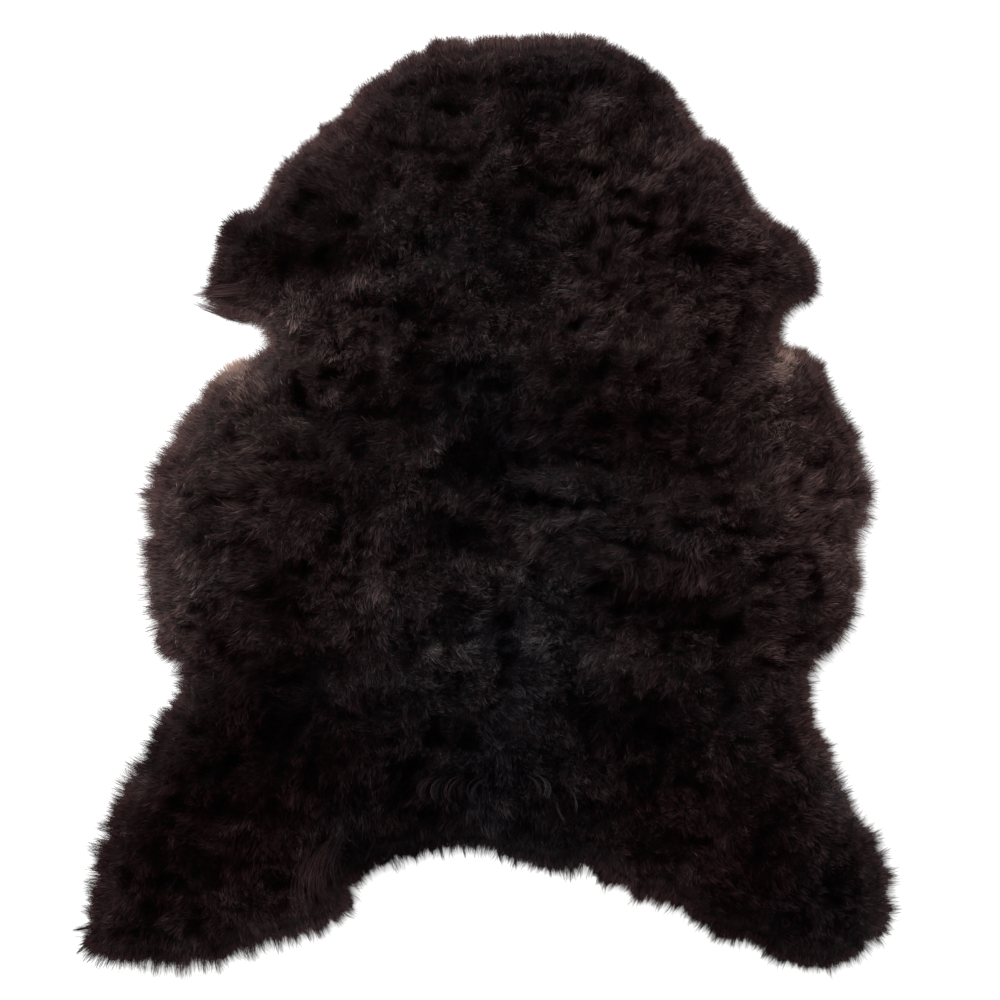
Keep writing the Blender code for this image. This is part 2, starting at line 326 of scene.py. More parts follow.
# Parts with more black wool than brown, or less; the black wool's cool grey is partly painted sheen
BLACKS = [
    # place, across, along, half width, half length in millimetres, added share of black
    ("withers", -18, 269, 117, 64, 0.4),
    ("middle", 40, 10, 150, 100, 0.5),
    ("spine low", 3, -158, 140, 91, 0.65),
    ("rump", 14, -290, 150, 75, 0.6),
    ("tail", 40, -372, 110, 40, 0.5),
    ("hind leg left", -301, -350, 90, 70, -0.6),
    ("thigh right", 206, -339, 85, 55, -0.4),
    ("breast right", 163, 96, 55, 45, -0.4),
    ("flank right", 380, 20, 70, 150, -0.4),
    ("hip edge right", 404, -330, 50, 70, 0.4),
    ("crown right", 95, 455, 100, 60, 0.3),
    ("notch tip left", -280, 137, 30, 25, -0.5),
    ("notch tip right", 323, 140, 30, 35, -0.5),
    ("breast", -4, 134, 58, 62, 0.4),
    ("left of middle", -166, 72, 46, 44, 0.25),
    ("waist left", -216, -206, 60, 44, 0.25),
    ("tail left", -150, -366, 52, 46, 0.5),
    ("hip right", 250, -232, 56, 44, 0.35),
    ("hind foot right", 374, -448, 72, 52, 0.55),
    ("hip edge left", -374, -270, 44, 60, 0.35),
    ("hind leg left, underside", -290, -466, 110, 26, 0.3),
    ("thigh left", -286, -322, 60, 48, -0.3),
]

# Where the wool's edge stands out from the solid's, or in from it
EDGES = [
    # place, across, along, reach, added, in millimetres
    ("crown left", -38, 490, 26, 7),
    ("crown, dip", -16, 492, 12, -5),
    ("crown", 30, 493, 32, 7),
    ("crown right", 131, 488, 26, 2),
    ("neck tip right", 208, 429, 10, 4),
    ("neck left", -134, 438, 26, 10),
    ("neck left, low", -180, 389, 20, 3),
    ("shoulder left, top", -216, 356, 18, 1),
    ("shoulder left", -239, 328, 10, -4),
    ("foreleg left, top", -277, 300, 16, 6),
    ("foreleg left", -298, 250, 28, -8),
    ("foreleg left, bulge", -293, 262, 12, -4),
    ("foreleg left, under", -244, 186, 18, -8),
    ("notch left", -236, 171, 12, -5),
    ("notch tip left", -268, 139, 23, 6),
    ("flank left, top", -322, 82, 20, 6),
    ("flank left, high", -346, 44, 18, 4),
    ("flank left", -357, 14, 16, 5),
    ("flank left, middle", -362, -46, 18, -4),
    ("flank left, low", -361, -110, 23, -9),
    ("waist left", -327, -177, 15, -5),
    ("waist left, low", -336, -224, 13, 5),
    ("hip left", -378, -284, 23, -4),
    ("hind leg left", -400, -323, 20, 4),
    ("hind leg left, low", -414, -371, 20, 3),
    ("hind foot left", -426, -451, 15, -3),
    ("hind foot left, under", -415, -480, 15, 3),
    ("hind leg left, under", -304, -489, 32, 0),
    ("hind leg left, inner", -240, -469, 20, -5),
    ("tail edge left", -148, -428, 15, 5),
    ("tail left", -109, -396, 18, -3),
    ("tail", -18, -371, 28, -5),
    ("tail right", 78, -391, 23, 5),
    ("tail right, low", 123, -403, 14, 11),
    ("hind leg right, inner", 179, -427, 26, 6),
    ("hind leg right, under", 254, -464, 26, 6),
    ("hind foot right, under", 339, -495, 32, 6),
    ("hind foot right, edge", 427, -451, 20, 4),
    ("hind foot right", 407, -341, 23, -5),
    ("hip right, low", 383, -307, 18, -6),
    ("hip right", 361, -256, 20, 1),
    ("waist right", 343, -192, 10, 4),
    ("waist right, top", 358, -170, 16, -12),
    ("flank right, low", 385, -131, 18, -5),
    ("flank right", 400, -85, 18, -6),
    ("flank right, middle", 396, -44, 13, -5),
    ("flank right, high", 408, 29, 20, -6),
    ("flank right, top", 379, 107, 23, -7),
    ("notch tip right, low", 360, 137, 10, 5),
    ("notch tip right", 331, 161, 15, 9),
    ("notch right", 318, 190, 13, 3),
    ("foreleg right, tip", 353, 228, 15, 2),
    ("foreleg right", 336, 274, 20, 4),
    ("neck right, low", 286, 319, 10, -4),
    ("neck right", 270, 355, 22, 2),
    ("foreleg left, side", -290, 284, 12, 5),
    ("flank left, notch", -362, -20, 8, -3),
    ("flank left, second bulge", -360, -46, 10, 4),
    ("waist left, top", -341, -162, 10, 4),
    ("tail left, inner", -77, -379, 22, -3),
    ("tail right, between", 147, -412, 12, -5),
    ("hind foot right, corner", 420, -466, 10, 5),
    ("hind foot right, lower corner", 403, -478, 9, -4),
    ("flank right, low bulge", 393, -112, 10, -4),
    ("flank right, low notch", 395, -57, 8, -4),
    ("flank right, high bulge", 387, 82, 12, 5),
    ("notch tip right, point", 357, 136, 10, 4),
    ("crown right, low", 163, 474, 14, -4),
    ("neck right, top", 240, 383, 13, 4),
]

# Where the fringe of single hairs past the wool's edge is longer than on the neck
FRINGES = [
    # place, across, along, reach, added length in millimetres
    ("crown", 0, 500, 150, -0.5),
    ("flank left", -350, -60, 150, 3.9),
    ("hind leg left", -400, -370, 120, 3.6),
    ("hind leg left, under", -270, -480, 80, 2.6),
    ("tail", 0, -390, 100, 0.5),
    ("flank right", 400, 0, 120, 1.6),
    ("hind leg right", 400, -400, 110, 1.1),
]

# The tufts and hollows that show most, by the part of the pelt they are on. Each one's rise lifts the
# wool, or lowers it for a hollow, and is also painted into the colour: painted light on tufts, painted
# shade in hollows
CHARTED = [
    # across, along, half width, half length in millimetres, turn in degrees if any, rise
    # crown
    (99, 420, 27, 13, 0.06), (-77, 395, 6, 19, 0.09), (-33, 397, 32, 15, 0.06),
    (19, 376, 9, 5, 0.12), (102, 365, 10, 5, -20, 0.13), (110, 333, 10, 13, 0.08),
    (121, 299, 9, 13, 0.09), (169, 384, 36, 15, 35, 0.06), (57, 432, 13, 7, 0.07),
    (-45, 420, 14, 7, -0.14), (-22, 416, 9, 6, -0.12), (-91, 442, 11, 9, 40, -0.12),
    (-37, 351, 16, 11, -0.15), (-101, 376, 12, 5, -0.13), (-94, 341, 5, 6, -0.16),
    (41, 440, 17, 6, -0.09), (110, 448, 21, 10, -0.08), (163, 442, 11, 15, -0.08),
    (69, 333, 23, 6, -15, -0.13), (44, 312, 7, 10, -0.13), (115, 349, 15, 5, -15, -0.16),
    (139, 325, 14, 6, 10, -0.16), (-50, 373, 32, 4, -0.10),
    # shoulders
    (-197, 287, 12, 9, 0.12), (-141, 237, 16, 7, 0.12), (-106, 234, 23, 7, 0.10),
    (-117, 292, 6, 16, -30, 0.08), (-66, 336, 15, 13, 0.06), (-200, 210, 23, 15, 0.05),
    (-152, 203, 14, 13, 0.06), (217, 241, 13, 6, 0.08), (208, 205, 13, 12, 0.06),
    (83, 224, 15, 13, 0.05), (158, 292, 23, 5, -8, -0.17), (127, 256, 5, 17, -15, -0.14),
    (105, 274, 12, 11, -0.10), (233, 262, 26, 9, -8, -0.15), (264, 254, 14, 5, 10, -0.12),
    (238, 344, 6, 3, 45, -0.12), (-173, 264, 11, 6, 20, -0.14), (-146, 296, 10, 7, -0.13),
    (-189, 322, 16, 9, -0.10), (-202, 256, 27, 14, -0.08), (-109, 211, 43, 5, -6, -0.12),
    (-98, 256, 10, 6, -0.10), (-253, 280, 16, 11, -0.08), (-61, 194, 32, 6, -0.08),
    # chest
    (-102, 155, 10, 23, 0.11), (-152, 113, 14, 15, 0.10), (-197, 82, 13, 11, 0.10),
    (-82, 184, 7, 11, 0.08), (-34, 171, 10, 6, 0.07), (-264, 145, 16, 9, 30, 0.10),
    (-62, 52, 32, 11, 37, 0.14), (-44, 82, 13, 9, 0.07), (33, 160, 23, 9, 0.08),
    (37, 207, 17, 10, 0.05), (110, 173, 15, 9, 0.06), (155, 168, 14, 6, 0.06),
    (133, 113, 17, 6, 0.09), (-23, 113, 10, 7, -30, 0.10), (-66, 177, 10, 5, 25, -0.16),
    (-82, 152, 9, 13, -0.13), (-33, 140, 16, 5, 15, -0.14), (-123, 96, 23, 7, -0.12),
    (-132, 130, 12, 9, -0.10), (-164, 136, 14, 5, 15, -0.12), (-200, 109, 14, 9, -0.12),
    (-136, 55, 12, 12, -0.12), (-61, 33, 16, 5, -10, -0.12), (94, 184, 11, 3, 12, -0.18),
    (121, 138, 21, 9, -0.13), (179, 123, 13, 6, -0.10), (179, 82, 13, 7, -0.12),
    (121, 85, 16, 9, -0.12), (238, 173, 6, 7, -0.12), (217, 160, 6, 7, -0.10),
    (9, 125, 19, 9, -0.10), (-34, 61, 19, 7, 20, -0.12),
    # middle
    (84, 28, 42, 11, 4, 0.08), (80, -19, 38, 10, 2, 0.09), (118, -15, 13, 5, 0.08),
    (186, 8, 28, 32, 0.06), (37, -80, 7, 6, 0.20), (9, -38, 6, 4, 0.12), (46, -150, 10, 5, 0.11),
    (-18, -150, 9, 4, 0.12), (-59, -156, 6, 10, -20, 0.13), (-29, -68, 15, 7, 0.08),
    (137, -57, 14, 9, 0.07), (180, -67, 18, 11, 0.06), (142, -158, 21, 10, 35, 0.08),
    (-101, -13, 15, 7, 35, 0.13), (-43, 9, 4, 19, 40, 0.09), (-168, -9, 14, 7, 0.08),
    (-152, -46, 7, 10, 0.08), (-116, -92, 14, 10, -35, 0.12), (-165, -142, 17, 13, 0.08),
    (-232, -142, 12, 9, 0.05), (-10, 41, 32, 19, -0.09), (57, 2, 21, 4, -2, -0.22),
    (104, -1, 34, 4, -3, -0.14), (26, 7, 7, 6, -0.14), (118, 44, 22, 5, -5, -0.20),
    (78, 50, 14, 3, -10, -0.12), (162, -46, 46, 4, -13, -0.15), (121, -92, 14, 4, -0.14),
    (148, -115, 16, 4, -8, -0.20), (209, -105, 28, 13, -0.08), (197, -133, 23, 4, 8, -0.18),
    (-29, -115, 14, 9, -0.09), (16, -124, 13, 9, -0.09), (19, -153, 10, 3, -0.10),
    (-23, -30, 9, 4, -0.12), (-42, -18, 27, 19, -0.05), (170, -106, 50, 15, -14, -0.06),
    (-61, -44, 17, 3, -5, -0.12), (-189, 13, 14, 9, -0.10), (-162, -35, 10, 10, -0.13),
    (-136, -43, 7, 6, -0.12), (-197, -69, 17, 5, -15, -0.14), (-237, -96, 15, 9, -0.11),
    (-152, -80, 17, 3, 8, -0.11), (-132, -137, 7, 5, -0.14), (-210, -190, 17, 7, -0.12),
    (-264, -160, 14, 10, -0.08), (-194, -115, 17, 5, -0.10),
    # flanks
    (283, 16, 9, 5, 20, 0.18), (314, 10, 6, 5, 0.18), (286, -1, 19, 10, 0.07),
    (319, -14, 6, 12, 0.08), (240, -15, 26, 4, -20, 0.10), (217, 38, 9, 4, -45, 0.13),
    (291, -94, 10, 5, 30, 0.13), (270, -107, 16, 10, 0.06), (345, -126, 14, 5, -20, 0.12),
    (217, -177, 23, 7, 30, 0.08), (245, 39, 12, 3, -0.13), (254, 5, 12, 5, -0.15),
    (223, 53, 6, 4, -0.12), (329, 22, 12, 4, 40, -0.16), (347, 39, 15, 4, 25, -0.10),
    (265, -30, 13, 4, -15, -0.15), (310, -58, 15, 4, -8, -0.16), (297, -78, 6, 10, -0.11),
    (260, -52, 6, 6, -0.10), (234, -130, 15, 5, -0.16), (260, -140, 12, 10, -0.20),
    (300, -174, 15, 4, -8, -0.17), (334, -148, 19, 5, -10, -0.10), (357, -106, 12, 5, -0.08),
    (214, -25, 7, 5, -0.12), (-306, -111, 12, 5, -0.11), (-321, -132, 16, 4, -0.08),
    (-269, 2, 29, 4, 5, -0.09), (-289, -52, 16, 5, 15, -0.10),
    # rump
    (-45, -273, 19, 9, 0.10), (19, -259, 19, 6, 0.06), (89, -254, 28, 17, 0.06),
    (-133, -238, 5, 11, -15, 0.08), (126, -192, 19, 6, 35, 0.07), (-27, -224, 17, 9, 0.05),
    (163, -270, 14, 6, 0.10), (193, -265, 10, 5, 0.07), (234, -286, 10, 6, 0.09),
    (251, -354, 21, 6, 0.09), (243, -320, 12, 7, 0.06), (147, -341, 10, 12, 0.07),
    (14, -318, 15, 10, 0.04), (-57, -254, 6, 11, 20, -0.15), (-89, -280, 17, 4, -5, -0.13),
    (-66, -329, 14, 6, -0.11), (111, -235, 5, 5, -0.14), (112, -254, 4, 13, -0.10),
    (-152, -222, 10, 6, -0.11), (-156, -271, 12, 5, -0.13), (186, -250, 11, 6, 10, -0.22),
    (165, -241, 10, 12, -0.16), (179, -297, 5, 3, -0.14), (169, -314, 6, 4, 20, -0.12),
    (185, -211, 14, 9, -0.10), (-11, -255, 7, 4, -0.11),
    # hind
    (-261, -344, 13, 5, 25, 0.13), (-290, -367, 14, 6, 15, 0.08), (-316, -403, 5, 17, 45, 0.09),
    (-200, -371, 14, 6, 30, 0.07), (-165, -373, 12, 28, -8, 0.10), (-296, -457, 10, 10, 0.06),
    (-194, -318, 10, 6, 0.05), (211, -393, 10, 9, 0.10), (257, -415, 12, 7, 0.09),
    (308, -430, 14, 6, 0.08), (347, -430, 9, 9, 0.08), (325, -366, 9, 6, 0.05),
    (-189, -288, 10, 14, -0.20), (-216, -286, 7, 5, -0.13), (-226, -318, 11, 6, 25, -0.10),
    (-268, -277, 5, 12, -15, -0.12), (-268, -324, 12, 9, -0.10), (-349, -377, 14, 11, -0.10),
    (-338, -405, 14, 9, -0.12), (-354, -433, 9, 11, -0.11), (-285, -404, 14, 5, -0.12),
    (-214, -404, 16, 6, -0.11), (302, -330, 6, 5, -0.12), (297, -352, 10, 6, -0.11),
    (315, -256, 14, 14, -0.07), (288, -373, 12, 6, -0.09), (291, -458, 10, 4, -0.10),
    (223, -359, 12, 4, -0.11), (372, -425, 5, 4, -0.12),
]

# Locks that stand out from the rest, by the part of the pelt they are on
LOCKS = {
    # the spread of each lock's root, strand width, added shade, then across, along and length
    # in millimetres, heading and bend in degrees, height over the wool
    "rump curls": (0.5, 0.3, 0.07, [
        (-63, -292, 29, 208, 115, 3), (-56, -291, 31, 208, 115, 3), (-48, -292, 30, 205, 120, 3),
        (-41, -291, 32, 205, 120, 3), (-33, -291, 32, 205, 120, 3), (-26, -292, 31, 205, 120, 3),
        (-18, -293, 32, 205, 120, 3), (-11, -293, 30, 208, 115, 3), (-3, -294, 30, 208, 115, 3),
        (44, -290, 27, 335, -125, 3), (54, -289, 31, 335, -125, 3), (91, -309, 22, 300, -50, 2),
        (74, -318, 24, 280, 40, 2),
    ]),
    "flowing lock": (3.2, 0.32, 0.05, [
        (-146, -346, 83, 236, 62, 2), (-153, -350, 80, 236, 62, 2), (-159, -354, 77, 236, 62, 2),
        (-165, -359, 74, 236, 62, 2), (-172, -363, 70, 236, 62, 2), (-178, -367, 67, 236, 62, 2),
        (-176, -363, 62, 240, 50, 1), (-182, -368, 62, 240, 50, 1), (-189, -373, 62, 240, 50, 1),
    ]),
    "foreleg whiskers": (2.8, 0.55, -0.02, [
        (-255, 226, 68, 186, -10, 1), (-258, 224, 60, 186, -10, 1), (-262, 230, 48, 184, -6, 1),
        (-250, 198, 73, 179, -34, 1), (-252, 201, 67, 179, -32, 1), (-256, 204, 60, 177, -30, 1),
        (-264, 199, 34, 176, -24, 1), (-246, 193, 40, 184, -30, 1), (-276, 237, 23, 178, -6, 0),
        (-284, 241, 19, 146, -10, 0),
    ]),
    "breast curls": (0.7, 0.3, 0.04, [
        (-27, 126, 26, 250, 95, 4), (-20, 122, 23, 255, 90, 4), (-5, 116, 23, 300, -70, 4),
        (-1, 111, 21, 290, -80, 4), (-14, 109, 17, 200, 60, 3),
    ]),
    "loin curls": (1.6, 0.25, -0.03, [
        (143, -64, 28, 300, -70, 3), (149, -62, 28, 300, -80, 3), (156, -75, 23, 290, -60, 3),
        (179, -58, 30, 300, -75, 3), (186, -54, 30, 300, -80, 3), (192, -58, 26, 295, -70, 3),
        (140, -89, 21, 240, 30, 2), (155, -94, 21, 245, 20, 2),
    ]),
    "hind points": (1.8, 0.6, 0, [
        (304, -463, 26, 255, -15, 0), (318, -467, 23, 270, 10, 0), (251, -451, 17, 290, 0, 0),
        (-200, -444, 26, 290, 10, 0), (-187, -442, 26, 285, 10, 0), (-264, -455, 28, 285, 0, 0),
        (-276, -457, 26, 295, 5, 0), (-152, -417, 23, 300, -30, 0), (-421, -451, 26, 205, -20, 0),
        (-418, -467, 28, 215, 10, 0), (157, -399, 21, 275, 5, 0),
    ]),
    "tail points": (1.7, 0.5, -0.04, [
        (-118, -357, 33, 242, 8, 0), (-101, -362, 33, 250, 10, 0), (-83, -350, 34, 285, -10, 0),
        (-56, -351, 33, 290, -12, 0), (-29, -355, 32, 285, -8, 0), (9, -356, 33, 280, 10, 0),
        (27, -358, 33, 280, -8, 0), (40, -363, 33, 285, -12, 0), (64, -369, 33, 275, 12, 0),
        (88, -368, 35, 275, -8, 0), (116, -381, 34, 285, -10, 0), (154, -395, 34, 280, -8, 0),
    ]),
}


def gaussian(values, blur):
    """Grid values after a Gaussian blur."""
    reach = int(3 * blur / GRID) + 1
    kernel = np.exp(-0.5 * (np.arange(-reach, reach + 1) * GRID / blur) ** 2)
    kernel /= kernel.sum()
    for axis in (0, 1):
        values = np.apply_along_axis(np.convolve, axis, values, kernel, "same")
    return values


def between(field, column, row, across, along):
    """Bilinear values of a grid field, at shares across and along from its cells' low corners."""
    low_side = field[column, row] * (1 - across) + field[column + 1, row] * across
    high_side = field[column, row + 1] * (1 - across) + field[column + 1, row + 1] * across
    return low_side * (1 - along) + high_side * along


def waves(places, span, seed):
    """Smooth noise from -1 to 1 with features about one span wide."""
    lattice = np.random.default_rng(seed).uniform(-1, 1, (WAVE_CELLS, WAVE_CELLS))
    cell = places / span + WAVE_CELLS / 2
    corner = np.floor(cell).astype(int)
    share = cell - corner
    across, along = (share * share * (3 - 2 * share)).T
    return between(lattice, *(corner % (WAVE_CELLS - 1)).T, across, along)


def wave_pairs(places, span, seed):
    """Smooth noise across and along."""
    return np.stack([waves(places, span, seed), waves(places, span, seed + 1)], axis=-1)


def unit(vectors):
    return vectors / np.maximum(np.linalg.norm(vectors, axis=-1, keepdims=True), 1e-9)


def sideways(vectors):
    """Flat vectors turned left by a quarter turn."""
    return np.stack([-vectors[..., 1], vectors[..., 0]], axis=-1)


def near(places, across, along, half_width, half_length, turn=0):
    """How near places are to a patch's middle, from 0 to 1."""
    cosine, sine = math.cos(math.radians(turn)), math.sin(math.radians(turn))
    offset = places / MM - [across, along]
    offset = np.stack(
        [offset[:, 0] * cosine + offset[:, 1] * sine, offset[:, 1] * cosine - offset[:, 0] * sine],
        axis=-1,
    )
    return np.exp(-((offset / [half_width, half_length]) ** 2).sum(axis=1))


def scattered(rng, fleece, pitch, least_inward):
    """Jittered, staggered places over the pelt."""
    low = fleece.low
    high = low + fleece.size * GRID
    lines = np.arange(low[1], high[1], pitch * math.sqrt(3) / 2)
    columns = np.arange(low[0], high[0], pitch)
    along, across = np.meshgrid(lines, columns, indexing="ij")
    across = across + (np.arange(len(lines)) % 2)[:, None] * pitch / 2
    places = np.stack([across.ravel(), along.ravel()], axis=-1)
    places += rng.uniform(-0.5, 0.5, places.shape) * pitch
    return places[fleece.read(fleece.inward, places) > least_inward]


class Fleece:
    """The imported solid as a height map, with its edge and the way out to it."""

    def __init__(self, solid):
        mesh = solid.data
        tree = BVHTree.FromPolygons(
            [vertex.co for vertex in mesh.vertices],
            [polygon.vertices for polygon in mesh.polygons],
        )
        low, high = (np.array(corner[:2]) for corner in packed_box)
        self.low = low - GRID_MARGIN
        self.size = np.ceil((high - low + 2 * GRID_MARGIN) / GRID).astype(int)
        heights = np.zeros(self.size)
        for column, row in np.ndindex(*self.size):
            across, along = self.low + np.array([column, row]) * GRID
            hit = tree.ray_cast((across, along, RAY_HEIGHT), (0, 0, -1))[0]
            heights[column, row] = hit.z if hit else 0
        inside = gaussian((heights > 0).astype(float), EDGE_BLUR) > 0.5
        self.heights = gaussian(heights, HEIGHT_BLUR)
        self.inward = self.distance_inward(inside) + WOOL_PAST_EDGE
        for _, across, along, reach, added in EDGES:
            self.inward += self.field(added * MM * near(self.places(), across, along, reach, reach))
        slope = np.stack(np.gradient(gaussian(self.inward, OUTWARD_BLUR), GRID), axis=-1)
        length = np.linalg.norm(slope, axis=-1, keepdims=True)
        self.outward = -slope / np.maximum(length, LEAST_SLOPE)

    def places(self):
        """The grid's points, as (count, 2)."""
        columns, rows = np.meshgrid(*(np.arange(count) for count in self.size), indexing="ij")
        return self.low + np.stack([columns.ravel(), rows.ravel()], axis=-1) * GRID

    def field(self, values):
        """Values at the grid's points, as a grid."""
        return values.reshape(*self.size, *values.shape[1:])

    def distance_inward(self, inside):
        """Distance from the edge at each grid point, positive inside."""
        edge = inside & ~(
            np.roll(inside, 1, 0) & np.roll(inside, -1, 0)
            & np.roll(inside, 1, 1) & np.roll(inside, -1, 1)
        )
        places = np.argwhere(edge)
        tree = kdtree.KDTree(len(places))
        for index, place in enumerate(places):
            tree.insert((*place, 0), index)
        tree.balance()
        distances = np.array([tree.find((*place, 0))[2] for place in np.ndindex(*self.size)])
        distances = distances.reshape(self.size) * GRID
        return np.where(inside, distances, -distances)

    def read(self, field, places):
        """Bilinear reading of a grid field at places."""
        cell = np.clip((places - self.low) / GRID, 0, self.size - 2)
        corner = cell.astype(int)
        across, along = (cell - corner).T
        if field.ndim == 3:
            across, along = across[:, None], along[:, None]
        return between(field, *corner.T, across, along)


class Coat:
    """How the wool lies, rises and is coloured, as fields over the pelt, with painted light on its rises
    and painted shade in its hollows.
    """

    def __init__(self, fleece):
        places = fleece.places()
        rim = np.clip(1 - fleece.read(fleece.inward, places) / RIM_REACH, 0, 1)
        rise = self.risen(places) * (1 - RIM_SMOOTHING * rim)
        self.lift = fleece.field(np.where(rise > 0, TUFT_RISE, HOLLOW_DEPTH) * rise)
        self.lean = fleece.field(self.combed(fleece, places, rim))
        # lighter towards the rim, partly paler wool and partly painted glow through the thin wool
        shade = SHADE + RIM_PALENESS_AND_GLOW * rim + SHADE_DRIFT * waves(places, SHADE_SPAN, 21)
        # painted light where the wool rises and painted shade where it falls in
        shade += np.where(rise > 0, RISE_PAINTED_LIGHT, FALL_PAINTED_SHADE) * rise
        for _, *patch, added in TONES:
            shade += added * near(places, *patch)
        self.shade = fleece.field(shade)
        brown = BROWN + BROWN_DRIFT * waves(places, BROWN_SPAN, 23) + RIM_BROWN * rim
        for _, *patch, share in BLACKS:
            brown -= share * near(places, *patch)
        self.brown = fleece.field(brown)

    def risen(self, places):
        """How far the wool stands out, from the charted tufts and from random waves."""
        ragged = places + RAGGED_SHIFT * wave_pairs(places, RAGGED_SPAN, 41)
        charted = np.zeros(len(places))
        for *patch, rise in CHARTED:
            charted += CHARTED_SHARE * rise * near(ragged, *patch)
        wavy = places + WAVY_SHIFT * wave_pairs(places, WAVY_SPAN, 37)
        skewed = wavy @ np.array(CREASE_SKEW)
        swell = 0.5 * waves(wavy, SWELL_SPAN, 31) + 0.5 * waves(wavy, HOLLOW_SPAN, 32)
        crease = np.clip(1 - np.abs(waves(skewed, CREASE_SPAN, 34)) / CREASE_WIDTH, 0, 1)
        crease *= np.clip(waves(places, CREASED_SPAN, 35) * 3 - 0.3, 0, 1)
        hollow = np.clip(waves(skewed, HOLLOW_SPAN, 33) * 2.2 - 0.4, 0, 1)
        nook = np.clip(waves(wavy, NOOK_SPAN, 36) * 2.2 - 0.6, 0, 1)
        return charted + SWELL * swell - HOLLOW * hollow - CREASE * crease - NOOK * nook

    def combed(self, fleece, places, rim):
        """Which way strands lean, and how far: outward at the rim and as charted on the body."""
        total = np.full(len(places), 1e-6)
        lean = np.zeros((len(places), 2))
        for _, across, along, lean_across, lean_along in COMBING:
            weight = near(places, across, along, COMBING_REACH, COMBING_REACH)
            total += weight
            lean += weight[:, None] * [lean_across, lean_along]
        lean /= total[:, None]
        turns = wave_pairs(places, TURN_SPAN, 11)
        outward = fleece.read(fleece.outward, places)
        rim = rim[:, None] ** 1.5
        return (COMBED * lean + TURNED * turns) * (1 - 0.7 * rim) + outward * RIM_LEAN * rim


class Tufts:
    """Where strands gather: each tuft's middle, lean, curl, lift and shade."""

    def __init__(self, rng, fleece, pitch, stretch, unevenness, stray):
        self.pitch, self.stretch, self.stray = pitch, np.array([1 / stretch, 1]), stray
        self.middles = scattered(rng, fleece, pitch, -GATHERED_PAST_EDGE)
        if stretch > 1:
            self.middles = self.middles[rng.random(len(self.middles)) < 1 / stretch]
        count = len(self.middles)
        self.lean = rng.normal(0, unevenness, (count, 2))
        self.curl = rng.normal(0, UNEVEN_CURL, count)
        self.crest = rng.uniform(0, 1, count) ** 1.5
        self.lift = rng.normal(0, UNEVEN_LIFT, count) * MM
        self.shade = rng.normal(0, UNEVEN_SHADE, count)
        self.pick = self.middles + rng.normal(0, UNEVEN_PICK, (count, 2)) * pitch
        self.tree = kdtree.KDTree(count)
        for index, middle in enumerate(self.middles * self.stretch):
            self.tree.insert((*middle, 0), index)
        self.tree.balance()

    def own(self, rng, places):
        """Each place's tuft, or the next one for a few, and how far off its middle the place is."""
        strayed = places + rng.normal(0, self.stray, places.shape)
        found = [self.tree.find((*place, 0)) for place in strayed * self.stretch]
        return np.array([item[1] for item in found]), np.array([item[2] for item in found])

    def forward(self, places, tuft, heading):
        """How far places are towards their tuft's tips, in pitches, by how much it stands out."""
        return ((places - self.middles[tuft]) * heading).sum(axis=1) / self.pitch * self.crest[tuft]


def paths_of(roots, low, bends, high, tips, end):
    """Strands' roots, bends and tips with their heights, as (count, 3, 3)."""
    rings = ((roots, low), (bends, high), (tips, end))
    return np.stack([np.column_stack(ring) for ring in rings], axis=1)


def colour_place(rng, fleece, coat, tone, tips):
    """Where strands are on the colour map: black wool, its cool grey partly painted sheen, in its first
    half, brown in its second.
    """
    tone = np.where(tone > PALE, PALE + (tone - PALE) * PALE_SHARE, tone)
    brown = rng.random(len(tips)) < fleece.read(coat.brown, tips)
    return (np.clip(tone, *TONE_RANGE) + brown) / 2


